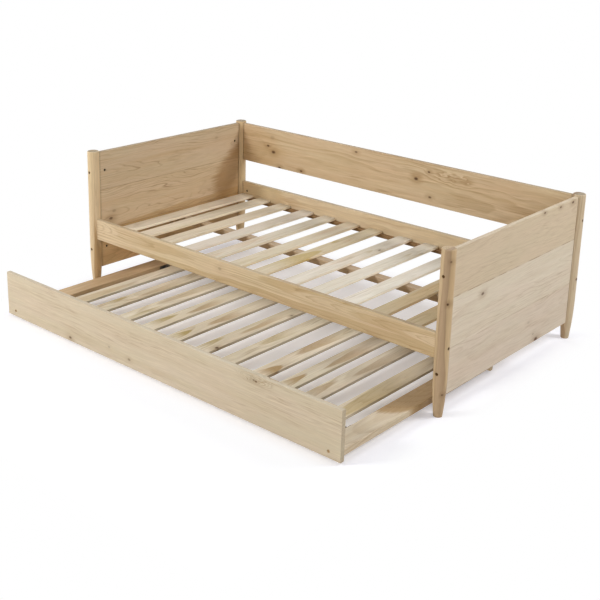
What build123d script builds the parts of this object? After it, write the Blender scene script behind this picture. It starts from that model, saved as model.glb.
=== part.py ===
from build123d import *
import os

# Daybed in solid pine with a low trundle that rolls out from under its front rail.
# Millimetres, +X along the bed, +Y towards the backrest, +Z up, floor at zero.
# The origin is on the floor, in the middle of the space that bed and pulled-out trundle cover.

os.makedirs("parts", exist_ok=True)

# Posts
post_span_x = 1950.0  # between post axes along the bed
post_span_y = 990.0  # between post axes from front to back
post_d = 54.0
post_h = 650.0
leg_taper_h = 180.0  # below this height the leg narrows to the foot
foot_d = 34.0
post_top_round = 5.0
housing_depth = 4.0  # stopped housings that take the ends of panels and rails
housing_side_gap = 0.2

# Boards of the daybed
board_t = 20.0
board_edge_round = 2.5
panel_drop = 9.0  # tops of end panels and backrest lie this far below the post tops
panel_floor_gap = 78.0
panel_end_round = 6.0
low_board_h = 182.0  # the end panel's three glued boards, the top one taking the rest
middle_board_h = 197.0
seam_w = 2.0  # mouth of the V-shaped seam between two boards
backrest_h = 198.0
rail_h = 98.0
rail_floor_gap = 226.0

# Slatted deck of the daybed
ledger_w = 24.0
ledger_h = 16.0
ledger_lift = 4.0  # ledger above the rail's lower edge
ledger_post_gap = 4.0
deck_slat_count = 13
slat_w = 75.0  # one stock for both decks
slat_t = 12.0
slat_edge_round = 2.0
slat_end_gap = 2.0  # slat ends to the boards in front and behind
slat_post_gap = 2.0  # outermost slats to the posts
deck_step_growth = 2.4  # each step is this much longer than the one to its left
deck_drift = (0, -15, -12, 2, -2, 2, -8, 12, 7, 14, 11, 7)  # slats lie where they were stapled
beam_w = 42.0
beam_h = 30.0
beam_end_gap = 1.0
beam_edge_round = 2.0
cleat_l = 28.0
cleat_w = 64.0
cleat_h = 30.0
cleat_chamfer = 10.0

# Connecting bolts and barrel nuts
bolt_d = 6.0
bolt_hole_d = 6.4
bolt_head_d = 12.0
bolt_head_h = 4.0
bolt_head_bore_d = 13.0
bolt_head_sink = 5.0
bolt_past_nut = 8.0
bolt_hole_past = 1.0  # hole goes on past the bolt's tip
hex_key = 4.0  # across the flats
hex_depth = 2.5
nut_d = 12.0
nut_l = 14.0
nut_side_gap = 0.05
nut_thread_gap = 0.05
panel_nut_offset = 57.0  # post axis to barrel nut
end_bolt_low = 175.0
end_bolt_high = 550.0
backrest_bolt_h = 537.0

# Trundle
trundle_pull = 513.0  # how far the trundle stands out of its closed place
trundle_depth = 990.0  # face of the front panel to back of the rear rail
trundle_board_t = 20.0
trundle_floor_gap = 8.0
trundle_end_gap = 13.0  # ends of the front panel to the posts that it passes between
front_panel_h = 195.0
rear_rail_h = 72.0
side_w = 88.0
side_t = 26.0
side_floor_gap = 21.0
side_inset = 8.0  # side boards' outer edges inside the ends of the front panel
side_nut_offset = 60.0  # end of the side board to barrel nut
trundle_deck_h = 38.0  # undersides of the slats above the floor
trundle_slat_count = 11
side_slat_gap = 44.0  # side boards to outermost slats, where the casters sit
trundle_drift = (0, -7, -4, -5, 2, 17, 15, 31, 20, -4)
ledger_side_gap = 2.0

# Casters
caster_spread = 680.0  # between front and rear casters
wheel_d = 44.0
wheel_w = 16.0
wheel_hub_d = 17.0
wheel_rim_t = 5.0
wheel_web_t = 6.0
wheel_edge_round = 2.0
axle_d = 8.0
axle_collar_d = 13.0
axle_collar_t = 1.5
axle_head_t = 3.0
axle_running_gap = 0.05
axle_seat_gap = 0.05
wheel_end_play = 0.5
bracket_t = 3.0
bracket_w = 64.0
bracket_h = 33.0
bracket_top_gap = 2.0  # top of the plate below the top of the side board
bracket_corner = 8.0
caster_screw_spread = 48.0
caster_screw_d = 4.0
caster_screw_gap = 0.05
caster_screw_l = 22.0
caster_screw_head_d = 8.0
caster_screw_head_h = 2.4

# Places that follow from the sizes
post_r = post_d / 2
seat_r = post_r - housing_depth  # post axis to the floor of a housing
panel_top = post_h - panel_drop
panel_h = panel_top - panel_floor_gap
panel_l = post_span_y - 2 * seat_r
rail_l = post_span_x - 2 * seat_r
rail_bolt_h = rail_floor_gap + rail_h / 2
backrest_floor_gap = panel_top - backrest_h
nut_hole_d = nut_d + 2 * nut_side_gap
bolt_tip = panel_nut_offset + bolt_past_nut
panel_inner_x = (post_span_x - board_t) / 2
rail_inner_y = (post_span_y - board_t) / 2
closed_front = (post_span_y + board_t) / 2  # closed, the trundle's face is flush with the front rail
front_reach = closed_front + trundle_pull
back_reach = post_span_y / 2 + post_r
bed_y = (front_reach - back_reach) / 2  # middle of the daybed
trundle_front_y = bed_y - front_reach
trundle_rear_y = trundle_front_y + trundle_depth
trundle_middle_y = trundle_front_y + trundle_depth / 2
panel_back_y = trundle_front_y + trundle_board_t
rear_front_y = trundle_rear_y - trundle_board_t
front_panel_l = post_span_x - post_d - 2 * trundle_end_gap
side_outer_x = front_panel_l / 2 - side_inset
side_inner_x = side_outer_x - side_w
side_middle_x = side_outer_x - side_w / 2
side_l = trundle_depth - 2 * trundle_board_t
side_bolt_h = side_floor_gap + side_t / 2
deck_h = rail_floor_gap + ledger_lift + ledger_h
axle_h = wheel_d / 2
wheel_inner_gap = bracket_t + axle_collar_t + wheel_end_play  # side board to wheel


def write_piece(piece, name):
    """Label a finished piece and write its STEP file."""
    piece.part.label = name
    export_step(piece.part, f"parts/{name}.step")


def slat_places(count, end_x, drift, growth=0.0):
    """Slat centres from -end_x to end_x, with steps that grow and inner slats off their places by drift."""
    steps = count - 1
    step = (2 * end_x - growth * steps * (steps - 1) / 2) / steps
    even = [i * step - end_x + growth * i * (i - 1) / 2 for i in range(count)]
    inner = [even[i] + drift[i % len(drift)] for i in range(1, steps)]
    return [-end_x, *inner, end_x]


# Turned posts
def make_post(name, side_x, side_y):
    """A post with a narrowing leg, housings for its panel and rails, and counterbored bolt holes."""
    x = side_x * post_span_x / 2
    y = bed_y + side_y * post_span_y / 2
    boards = [(rail_floor_gap, rail_h, rail_bolt_h)]
    if side_y > 0:
        boards.append((backrest_floor_gap, backrest_h, backrest_bolt_h))
    housing_w = board_t + 2 * housing_side_gap
    with BuildPart() as post:
        with BuildSketch(Plane(origin=(x, y, 0), x_dir=(1, 0, 0), z_dir=(0, -1, 0))):
            with BuildLine():
                Line((0, 0), (foot_d / 2, 0))
                TangentArc((post_r, leg_taper_h), (foot_d / 2, 0), tangent=(0, -1))
                Line((post_r, leg_taper_h), (post_r, post_h - post_top_round))
                top_edge = (post_r - post_top_round, post_h)
                TangentArc((post_r, post_h - post_top_round), top_edge, tangent=(0, 1))
                Line(top_edge, (0, post_h))
                Line((0, post_h), (0, 0))
            make_face()
        revolve(axis=Axis((x, y, 0), (0, 0, 1)))
        with BuildSketch(Plane(origin=(x, y - side_y * post_r, panel_floor_gap))):
            Rectangle(housing_w, 2 * housing_depth)
        extrude(amount=panel_h, mode=Mode.SUBTRACT)
        for floor_gap, height, bolt_h in boards:
            with BuildSketch(Plane(origin=(x - side_x * post_r, y, floor_gap))):
                Rectangle(2 * housing_depth, housing_w)
            extrude(amount=height, mode=Mode.SUBTRACT)
            with Locations(Plane(origin=(x + side_x * post_r, y, bolt_h), z_dir=(side_x, 0, 0))):
                CounterBoreHole(bolt_hole_d / 2, bolt_head_bore_d / 2, bolt_head_sink, depth=post_d)
        for bolt_h in (end_bolt_low, end_bolt_high):
            with Locations(Plane(origin=(x, y + side_y * post_r, bolt_h), z_dir=(0, side_y, 0))):
                CounterBoreHole(bolt_hole_d / 2, bolt_head_bore_d / 2, bolt_head_sink, depth=post_d)
    write_piece(post, name)


make_post("post_front_left", -1, -1)
make_post("post_front_right", 1, -1)
make_post("post_back_left", -1, 1)
make_post("post_back_right", 1, 1)


# End panels, each glued up from three boards
def make_end_panel(name, side_x):
    """An end panel with rounded ends, seams on both faces, bolt holes and barrel nut holes."""
    x = side_x * post_span_x / 2
    low_seam = panel_floor_gap + low_board_h
    with BuildPart() as panel:
        with BuildSketch(Plane(origin=(x, bed_y, panel_floor_gap))):
            RectangleRounded(board_t, panel_l, panel_end_round)
        extrude(amount=panel_h)
        fillet(panel.faces().sort_by(Axis.Z)[-1].edges(), board_edge_round)
        fillet(panel.faces().sort_by(Axis.Z)[0].edges(), board_edge_round)
        for seam_h in (low_seam, low_seam + middle_board_h):
            for face in (-1, 1):
                mouth = (x + face * board_t / 2, bed_y - panel_l / 2, seam_h)
                with BuildSketch(Plane(origin=mouth, x_dir=(1, 0, 0), z_dir=(0, 1, 0))):
                    Rectangle(seam_w / 2**0.5, seam_w / 2**0.5, rotation=45)
                extrude(amount=panel_l, mode=Mode.SUBTRACT)
        for side_y in (-1, 1):
            end_y = bed_y + side_y * panel_l / 2
            nut_y = bed_y + side_y * (post_span_y / 2 - panel_nut_offset)
            for bolt_h in (end_bolt_low, end_bolt_high):
                with Locations(Plane(origin=(x, end_y, bolt_h), z_dir=(0, side_y, 0))):
                    Hole(bolt_hole_d / 2, depth=bolt_tip + bolt_hole_past - seat_r)
                inner = (x - side_x * board_t / 2, nut_y, bolt_h)
                with Locations(Plane(origin=inner, z_dir=(-side_x, 0, 0))):
                    Hole(nut_hole_d / 2, depth=(board_t + nut_l) / 2)
    write_piece(panel, name)


make_end_panel("end_panel_left", -1)
make_end_panel("end_panel_right", 1)


# Rails and backrest board, which run from post to post
def make_rail(name, side_y, floor_gap, height, bolt_h):
    """A long board with eased edges, a bolt hole in each end and barrel nut holes on its inner face."""
    y = bed_y + side_y * post_span_y / 2
    end = Plane(origin=(-rail_l / 2, y, floor_gap + height / 2), x_dir=(0, 1, 0), z_dir=(1, 0, 0))
    with BuildPart() as rail:
        with BuildSketch(end):
            RectangleRounded(board_t, height, board_edge_round)
        extrude(amount=rail_l)
        for side_x in (-1, 1):
            with Locations(Plane(origin=(side_x * rail_l / 2, y, bolt_h), z_dir=(side_x, 0, 0))):
                Hole(bolt_hole_d / 2, depth=bolt_tip + bolt_hole_past - seat_r)
            nut_x = side_x * (post_span_x / 2 - panel_nut_offset)
            inner = (nut_x, y - side_y * board_t / 2, bolt_h)
            with Locations(Plane(origin=inner, z_dir=(0, -side_y, 0))):
                Hole(nut_hole_d / 2, depth=(board_t + nut_l) / 2)
    write_piece(rail, name)


make_rail("front_rail", -1, rail_floor_gap, rail_h, rail_bolt_h)
make_rail("back_rail", 1, rail_floor_gap, rail_h, rail_bolt_h)
make_rail("backrest_board", 1, backrest_floor_gap, backrest_h, backrest_bolt_h)


# Bars of one section along X: ledgers and the centre beam
def make_bar(name, length, y, z, width, height, edge_round):
    """A bar along X, centred on X, with its section centred on y and z."""
    end = Plane(origin=(-length / 2, y, z), x_dir=(0, 1, 0), z_dir=(1, 0, 0))
    with BuildPart() as bar:
        with BuildSketch(end):
            RectangleRounded(width, height, edge_round)
        extrude(amount=length)
    write_piece(bar, name)


deck_ledger_l = post_span_x - post_d - 2 * ledger_post_gap
deck_ledger_z = deck_h - ledger_h / 2
for name, side_y in (("ledger_front", -1), ("ledger_back", 1)):
    ledger_y = bed_y + side_y * (rail_inner_y - ledger_w / 2)
    make_bar(name, deck_ledger_l, ledger_y, deck_ledger_z, ledger_w, ledger_h, beam_edge_round)
beam_l = 2 * (panel_inner_x - beam_end_gap)
make_bar("centre_beam", beam_l, bed_y, deck_h - beam_h / 2, beam_w, beam_h, beam_edge_round)


# Cleats that carry the ends of the centre beam
def make_cleat(name, side_x):
    """A block on the inner face of an end panel, with its lower outer edge taken off."""
    cleat_x = side_x * (panel_inner_x - cleat_l / 2)
    base = Plane(origin=(cleat_x, bed_y, deck_h - beam_h - cleat_h))
    with BuildPart() as cleat:
        with BuildSketch(base):
            Rectangle(cleat_l, cleat_w)
        extrude(amount=cleat_h)
        low_edges = cleat.faces().sort_by(Axis.Z)[0].edges().filter_by(Axis.Y)
        chamfer(low_edges.sort_by(Axis.X)[0 if side_x > 0 else -1], cleat_chamfer)
    write_piece(cleat, name)


make_cleat("beam_cleat_left", -1)
make_cleat("beam_cleat_right", 1)


# Slats, which run from front to back
def make_slat(name, x, middle_y, length, under_h):
    """A slat with eased edges, lying on whatever is at under_h."""
    end = Plane(origin=(x, middle_y - length / 2, under_h + slat_t / 2), x_dir=(1, 0, 0), z_dir=(0, 1, 0))
    with BuildPart() as slat:
        with BuildSketch(end):
            RectangleRounded(slat_w, slat_t, slat_edge_round)
        extrude(amount=length)
    write_piece(slat, name)


deck_slat_l = 2 * (rail_inner_y - slat_end_gap)
deck_end_x = post_span_x / 2 - post_r - slat_post_gap - slat_w / 2
deck_places = slat_places(deck_slat_count, deck_end_x, deck_drift, deck_step_growth)
for number, x in enumerate(deck_places, start=1):
    make_slat(f"deck_slat_{number:02d}", x, bed_y, deck_slat_l, deck_h)

trundle_slat_l = side_l - 2 * slat_end_gap
trundle_end_x = side_inner_x - side_slat_gap - slat_w / 2
trundle_places = slat_places(trundle_slat_count, trundle_end_x, trundle_drift)
for number, x in enumerate(trundle_places, start=1):
    make_slat(f"trundle_slat_{number:02d}", x, trundle_middle_y, trundle_slat_l, trundle_deck_h)


# Trundle frame: two upright boards across the ends of two flat side boards
def make_upright(name, middle_y, length, height, outward):
    """The trundle's front panel or rear rail, with counterbored holes for the side boards' bolts."""
    end = Plane(
        origin=(-length / 2, middle_y, trundle_floor_gap + height / 2), x_dir=(0, 1, 0), z_dir=(1, 0, 0)
    )
    with BuildPart() as upright:
        with BuildSketch(end):
            RectangleRounded(trundle_board_t, height, board_edge_round)
        extrude(amount=length)
        for side_x in (-1, 1):
            mouth = (side_x * side_middle_x, middle_y + outward * trundle_board_t / 2, side_bolt_h)
            with Locations(Plane(origin=mouth, z_dir=(0, outward, 0))):
                CounterBoreHole(
                    bolt_hole_d / 2, bolt_head_bore_d / 2, bolt_head_sink, depth=trundle_board_t
                )
    write_piece(upright, name)


make_upright("trundle_front_panel", (trundle_front_y + panel_back_y) / 2, front_panel_l, front_panel_h, -1)
make_upright("trundle_rear_rail", (rear_front_y + trundle_rear_y) / 2, 2 * side_outer_x, rear_rail_h, 1)


def caster_places(side_x):
    """Points where the axles of one side's casters leave the side board."""
    return [(side_x * side_inner_x, trundle_middle_y + end * caster_spread / 2, axle_h) for end in (-1, 1)]


def make_side(name, side_x):
    """A flat side board with bolt holes in its ends, barrel nut holes from above and screw holes."""
    x = side_x * side_middle_x
    start = Plane(origin=(x, panel_back_y, side_bolt_h), x_dir=(1, 0, 0), z_dir=(0, 1, 0))
    with BuildPart() as side:
        with BuildSketch(start):
            RectangleRounded(side_w, side_t, board_edge_round)
        extrude(amount=side_l)
        for end_y, outward in ((panel_back_y, -1), (rear_front_y, 1)):
            with Locations(Plane(origin=(x, end_y, side_bolt_h), z_dir=(0, outward, 0))):
                Hole(bolt_hole_d / 2, depth=side_nut_offset + bolt_past_nut + bolt_hole_past)
            top = (x, end_y - outward * side_nut_offset, side_floor_gap + side_t)
            with Locations(Plane(origin=top)):
                Hole(nut_hole_d / 2, depth=(side_t + nut_l) / 2)
        for axle_x, axle_y, _ in caster_places(side_x):
            for end in (-1, 1):
                screw = (axle_x, axle_y + end * caster_screw_spread / 2, side_bolt_h)
                with Locations(Plane(origin=screw, z_dir=(-side_x, 0, 0))):
                    Hole(caster_screw_d / 2 + caster_screw_gap, depth=caster_screw_l)
    write_piece(side, name)


make_side("trundle_side_left", -1)
make_side("trundle_side_right", 1)

trundle_ledger_l = 2 * (side_inner_x - ledger_side_gap)
trundle_ledger_z = trundle_deck_h - ledger_h / 2
front_ledger_y = panel_back_y + ledger_w / 2
rear_ledger_y = rear_front_y - ledger_w / 2
for name, ledger_y in (("trundle_ledger_front", front_ledger_y), ("trundle_ledger_rear", rear_ledger_y)):
    make_bar(name, trundle_ledger_l, ledger_y, trundle_ledger_z, ledger_w, ledger_h, beam_edge_round)


# Connecting bolts and barrel nuts, modelled once and set into every joint
def make_bolt(reach):
    """A bolt along Z: underside of its head at zero, shank downwards, hexagon socket in the head."""
    with BuildPart() as bolt:
        with BuildSketch(Plane.XY):
            Circle(bolt_head_d / 2)
        extrude(amount=bolt_head_h)
        with BuildSketch(Plane.XY):
            Circle(bolt_d / 2)
        extrude(amount=-reach)
        with BuildSketch(Plane.XY.offset(bolt_head_h)):
            RegularPolygon(hex_key / 2, 6, major_radius=False)
        extrude(amount=-hex_depth, mode=Mode.SUBTRACT)
    return bolt.part


def make_nut():
    """A barrel nut along Z, centred, with its cross hole along X."""
    with BuildPart() as nut:
        with BuildSketch(Plane.XY.offset(-nut_l / 2)):
            Circle(nut_d / 2)
        extrude(amount=nut_l)
        with BuildSketch(Plane.YZ.offset(-nut_d / 2)):
            Circle(bolt_d / 2 + nut_thread_gap)
        extrude(amount=nut_d, mode=Mode.SUBTRACT)
    return nut.part


def write_group(name, piece, planes):
    """Set one piece at every plane and write them as one group of separate solids."""
    with BuildPart() as group:
        with Locations(*planes):
            add(piece)
    write_piece(group, name)


head_seat = post_r - bolt_head_sink  # post axis to the underside of a bolt head
bolt_planes = []
nut_planes = []
for side_x in (-1, 1):
    for side_y in (-1, 1):
        post_x = side_x * post_span_x / 2
        post_y = bed_y + side_y * post_span_y / 2
        for bolt_h in (end_bolt_low, end_bolt_high):
            seat = (post_x, post_y + side_y * head_seat, bolt_h)
            bolt_planes.append(Plane(origin=seat, z_dir=(0, side_y, 0)))
            nut_at = (post_x, post_y - side_y * panel_nut_offset, bolt_h)
            nut_planes.append(Plane(origin=nut_at, x_dir=(0, 1, 0), z_dir=(1, 0, 0)))
        for bolt_h in (rail_bolt_h, backrest_bolt_h) if side_y > 0 else (rail_bolt_h,):
            seat = (post_x + side_x * head_seat, post_y, bolt_h)
            bolt_planes.append(Plane(origin=seat, z_dir=(side_x, 0, 0)))
            nut_at = (post_x - side_x * panel_nut_offset, post_y, bolt_h)
            nut_planes.append(Plane(origin=nut_at, x_dir=(1, 0, 0), z_dir=(0, 1, 0)))
write_group("post_bolts", make_bolt(head_seat + bolt_tip), bolt_planes)
write_group("post_barrel_nuts", make_nut(), nut_planes)

side_bolt_planes = []
side_nut_planes = []
for side_x in (-1, 1):
    for face_y, outward in ((trundle_front_y, -1), (trundle_rear_y, 1)):
        x = side_x * side_middle_x
        seat = (x, face_y - outward * bolt_head_sink, side_bolt_h)
        side_bolt_planes.append(Plane(origin=seat, z_dir=(0, outward, 0)))
        nut_at = (x, face_y - outward * (trundle_board_t + side_nut_offset), side_bolt_h)
        side_nut_planes.append(Plane(origin=nut_at, x_dir=(0, 1, 0), z_dir=(0, 0, 1)))
side_bolt_reach = trundle_board_t - bolt_head_sink + side_nut_offset + bolt_past_nut
write_group("trundle_bolts", make_bolt(side_bolt_reach), side_bolt_planes)
write_group("trundle_barrel_nuts", make_nut(), side_nut_planes)


# Casters on the inner edges of the side boards
def make_bracket(name, place, side_x):
    """A steel plate on the side board's edge, with a hole for the axle and two for screws."""
    x, y, _ = place
    top = side_floor_gap + side_t - bracket_top_gap
    back = Plane(origin=(x, y, top - bracket_h / 2), x_dir=(0, 1, 0), z_dir=(-side_x, 0, 0))
    with BuildPart() as bracket:
        with BuildSketch(back):
            RectangleRounded(bracket_w, bracket_h, bracket_corner)
        extrude(amount=bracket_t)
        with Locations(Plane(origin=(x, y, axle_h), z_dir=(side_x, 0, 0))):
            Hole(axle_d / 2 + axle_seat_gap)
        for end in (-1, 1):
            screw = (x, y + end * caster_screw_spread / 2, side_bolt_h)
            with Locations(Plane(origin=screw, z_dir=(side_x, 0, 0))):
                Hole(caster_screw_d / 2 + caster_screw_gap)
    write_piece(bracket, name)


def make_axle():
    """A stub axle along Z: seat in the plate from zero, collar, bearing length, then a head."""
    collar_end = bracket_t + axle_collar_t
    bearing_end = collar_end + wheel_w + 2 * wheel_end_play
    with BuildPart() as axle:
        with BuildSketch(Plane.XY):
            Circle(axle_d / 2)
        extrude(amount=bearing_end)
        for start, thickness in ((bracket_t, axle_collar_t), (bearing_end, axle_head_t)):
            with BuildSketch(Plane.XY.offset(start)):
                Circle(axle_collar_d / 2)
            extrude(amount=thickness)
    return axle.part


def make_screw():
    """A pan-head screw along Z: underside of its head at zero, shank downwards."""
    with BuildPart() as screw:
        with BuildSketch(Plane.XY):
            Circle(caster_screw_head_d / 2)
        extrude(amount=caster_screw_head_h)
        with BuildSketch(Plane.XY):
            Circle(caster_screw_d / 2)
        extrude(amount=-(caster_screw_l + bracket_t))
    return screw.part


def make_wheel(name, place, side_x):
    """A moulded wheel with a hub, a thin web and a rim with rounded edges."""
    x, y, _ = place
    middle = Plane(
        origin=(x - side_x * (wheel_inner_gap + wheel_w / 2), y, axle_h), x_dir=(0, 1, 0), z_dir=(1, 0, 0)
    )
    with BuildPart() as wheel:
        with BuildSketch(middle):
            Circle(wheel_d / 2)
        extrude(amount=wheel_w / 2, both=True)
        fillet(wheel.edges().filter_by(GeomType.CIRCLE), wheel_edge_round)
        recess = (wheel_w - wheel_web_t) / 2
        for face in (-1, 1):
            with BuildSketch(middle.offset(face * wheel_w / 2)):
                Circle(wheel_d / 2 - wheel_rim_t)
                Circle(wheel_hub_d / 2, mode=Mode.SUBTRACT)
            extrude(amount=-face * recess, mode=Mode.SUBTRACT)
        with BuildSketch(middle.offset(-wheel_w / 2)):
            Circle(axle_d / 2 + axle_running_gap)
        extrude(amount=wheel_w, mode=Mode.SUBTRACT)
    write_piece(wheel, name)


axle_planes = []
caster_screw_planes = []
for hand, side_x in (("left", -1), ("right", 1)):
    for end_name, place in zip(("front", "rear"), caster_places(side_x)):
        make_bracket(f"caster_bracket_{end_name}_{hand}", place, side_x)
        make_wheel(f"caster_wheel_{end_name}_{hand}", place, side_x)
        inward = (-side_x, 0, 0)
        axle_planes.append(Plane(origin=place, z_dir=inward))
        for end in (-1, 1):
            screw_y = place[1] + end * caster_screw_spread / 2
            head_under = (place[0] - side_x * bracket_t, screw_y, side_bolt_h)
            caster_screw_planes.append(Plane(origin=head_under, z_dir=inward))
write_group("caster_axles", make_axle(), axle_planes)
write_group("caster_screws", make_screw(), caster_screw_planes)
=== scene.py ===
"""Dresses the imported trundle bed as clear, planed pine furniture on a white studio floor."""

import logging
import math
import random
from dataclasses import dataclass
from enum import Enum
from functools import cached_property

import bmesh
import bpy
from mathutils import Matrix, Vector


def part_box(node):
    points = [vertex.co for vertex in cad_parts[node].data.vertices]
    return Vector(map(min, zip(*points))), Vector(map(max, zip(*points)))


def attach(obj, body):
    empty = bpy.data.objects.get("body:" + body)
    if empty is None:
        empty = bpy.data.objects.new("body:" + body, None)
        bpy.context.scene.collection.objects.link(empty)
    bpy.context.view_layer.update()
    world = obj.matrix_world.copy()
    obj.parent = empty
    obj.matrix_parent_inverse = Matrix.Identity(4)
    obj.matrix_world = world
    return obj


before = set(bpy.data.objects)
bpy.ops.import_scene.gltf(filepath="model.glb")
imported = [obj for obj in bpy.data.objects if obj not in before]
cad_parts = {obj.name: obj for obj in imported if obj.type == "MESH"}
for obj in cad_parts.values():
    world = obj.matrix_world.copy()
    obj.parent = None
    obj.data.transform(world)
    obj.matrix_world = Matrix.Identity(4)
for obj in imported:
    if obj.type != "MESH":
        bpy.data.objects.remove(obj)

Tree = bpy.types.NodeTree
Socket = bpy.types.NodeSocket
Material = bpy.types.Material
Triple = tuple[float, float, float]

LOG = logging.getLogger("trundle_bed")
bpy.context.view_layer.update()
IMAGE_PX = 600
SENSOR_MM = 36.0
MM = 0.001
# Settings of a Mix node that mixes colours, and of a Map Range node whose ramp has soft ends.
COLOURS = {"out": 2, "data_type": "RGBA"}
SOFT = {"interpolation_type": "SMOOTHSTEP"}

# Sizes of pine's patterns in millimetres, along the grain and across it. Real fibres are far finer than 1 mm and are
# drawn coarser so that they show.
WANDER_MM = (330.0, 75.0)
STREAK_MM = (620.0, 34.0)
FIBRE_MM = (45.0, 1.3)
CURL_MM = 17.0
CURL_PUSH_MM = 60.0
# Where a glue line starts and is darkest beside its joint, and how long its pieces are. It is about 3 mm wide so that
# it shows; the real joint is under 0.2 mm.
GLUE_START_MM, GLUE_DARK_MM, GLUE_RUN_MM = 2.2, 0.8, 90.0
# How far the trunk's wander pushes dashes, flames and knots sideways, and how far apart glued boards were sawn.
DASH_BEND_MM, FLAME_BEND_MM, KNOT_BEND_MM = 46.0, 34.0, 6.0
BOARD_APART_MM = 431.0
# Painted shade in the crease where a board goes into its posts: it darkens the last millimetres before the post to this
# share.
CREASE_SHADE_MM, CREASE_SHADE_DIM = 16.0, 0.55
# Steps between the seeds of one board's noises.
STREAK_SEED, DASH_SEED = 7, 13
# Casts of the wood from place to place: reddish and olive.
RED_CAST, OLIVE_CAST = (1.012, 0.995, 0.99, 1), (0.988, 1.0, 0.972, 1)
OIL_IOR, NYLON_IOR = 1.48, 1.53
FIBRE_DEPTH_M = 0.0004


def linear(code: str) -> tuple[float, float, float, float]:
    """Turn an sRGB hex colour into linear light.

    Args:
        code: Six hex digits, such as "D9C7A8".

    Returns:
        Red, green, blue and an alpha of one.
    """
    parts = [int(code[i : i + 2], 16) / 255 for i in (0, 2, 4)]
    lit = [p / 12.92 if p <= 0.04045 else ((p + 0.055) / 1.055) ** 2.4 for p in parts]
    return (*lit, 1.0)


def add(tree: Tree, kind: str, links: dict, out: int | str = 0, **settings) -> Socket:
    """Add one node with its settings and links.

    Args:
        tree: Node tree that gets the node.
        kind: Blender's name of the node type, without the ShaderNode that it starts with.
        links: Input name or index to a socket to link, or to a plain value.
        out: Name or index of the output that is wanted.
        **settings: Properties of the node.

    Returns:
        The wanted output socket, or the node's first input where it has no output.
    """
    node = tree.nodes.new("ShaderNode" + kind)
    for name, value in settings.items():
        setattr(node, name, value)
    for name, value in links.items():
        if isinstance(value, Socket):
            tree.links.new(value, node.inputs[name])
        else:
            node.inputs[name].default_value = value
    return node.outputs[out] if node.outputs else node.inputs[0]


def empty_material(name: str) -> Material:
    """Make a node material with nothing in it.

    Args:
        name: Name of the material.

    Returns:
        The material with an empty node tree.
    """
    material = bpy.data.materials.new(name)
    material.use_nodes = True
    material.node_tree.nodes.clear()
    return material


def per_mm(length: float, width: float) -> Triple:
    """Give the scale at which a noise's spots are so many millimetres long and wide."""
    return (1 / length, 1 / width, 1 / width)


def dress(node: str, material: Material) -> None:
    """Put a material on every slot of a CAD node.

    Args:
        node: Name of the CAD node.
        material: Material for all its faces.
    """
    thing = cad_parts[node]
    thing.data.materials.clear()
    thing.data.materials.append(material)
    LOG.info("dressed %s with %s", node, material.name)


def make_piece(name: str, shape: bmesh.types.BMesh, material: Material) -> bpy.types.Object:
    """Make a finished shape into a piece at the origin.

    Args:
        name: Name of the piece and of its mesh.
        shape: The shape in row metres, which is freed.
        material: Material for all its faces.

    Returns:
        The piece, linked to the scene.
    """
    mesh = bpy.data.meshes.new(name)
    shape.to_mesh(mesh)
    shape.free()
    mesh.materials.append(material)
    piece = bpy.data.objects.new(name, mesh)
    bpy.context.scene.collection.objects.link(piece)
    LOG.info("made %s", name)
    return piece


def middle_mm(node: str) -> Triple:
    """Give the middle of a CAD node's box in row millimetres."""
    low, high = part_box(node)
    return tuple((low + high) / 2 / MM)


class Cut(Enum):
    """How a board lies: which row axes run along the grain, across the face and through the board."""

    UPRIGHT_LONG = (0, 2, 1)
    UPRIGHT_END = (1, 2, 0)
    FLAT_CROSS = (1, 0, 2)
    FLAT_LONG = (0, 1, 2)
    TURNED = (2, 0, 1)


@dataclass(frozen=True)
class Tone:
    """Colours of one pine board: planed pine is pale between the rings and tan where late wood lies."""

    pale: str = "DCCBAE"
    tan: str = "CDB48C"
    late: str = "B4925F"
    knot: str = "55371F"


@dataclass(frozen=True)
class Knot:
    """A branch cut through: place along and across the board in row millimetres, and its radius."""

    along: float
    across: float
    radius: float
    dark: float = 1.0


def knot_rows(*rows: tuple[float, float, float, float], start: float = 0.0) -> tuple[Knot, ...]:
    """Make knots from rows of place along (from start), place across, radius and darkness."""
    return tuple(Knot(start + along, across, radius, dark) for along, across, radius, dark in rows)


@dataclass(frozen=True)
class Flame:
    """A pointed arch of other-coloured wood, where the saw cut slantwise through some years' growth.

    Its tip in row millimetres along and across the board, how far behind the tip it is half_mm wide to each side
    (negative where it points the other way), its colour, how strongly it shows, at how many openings from the tip
    it has faded, and how many rings nest in one opening.
    """

    along: float
    across: float
    opening: float
    half_mm: float
    colour: str
    strength: float = 0.8
    length: float = 2.0
    rings: float = 2.0


@dataclass(frozen=True)
class Pith:
    """The tree's middle under the board, which decides where rings run straight and where they arch.

    Millimetres across and through the board from its middle, then how it leans (mm per m) and bows (mm per m squared).
    """

    across: float = 10.0
    deep: float = -70.0
    lean: float = 0.0
    bow: float = 0.0


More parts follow.
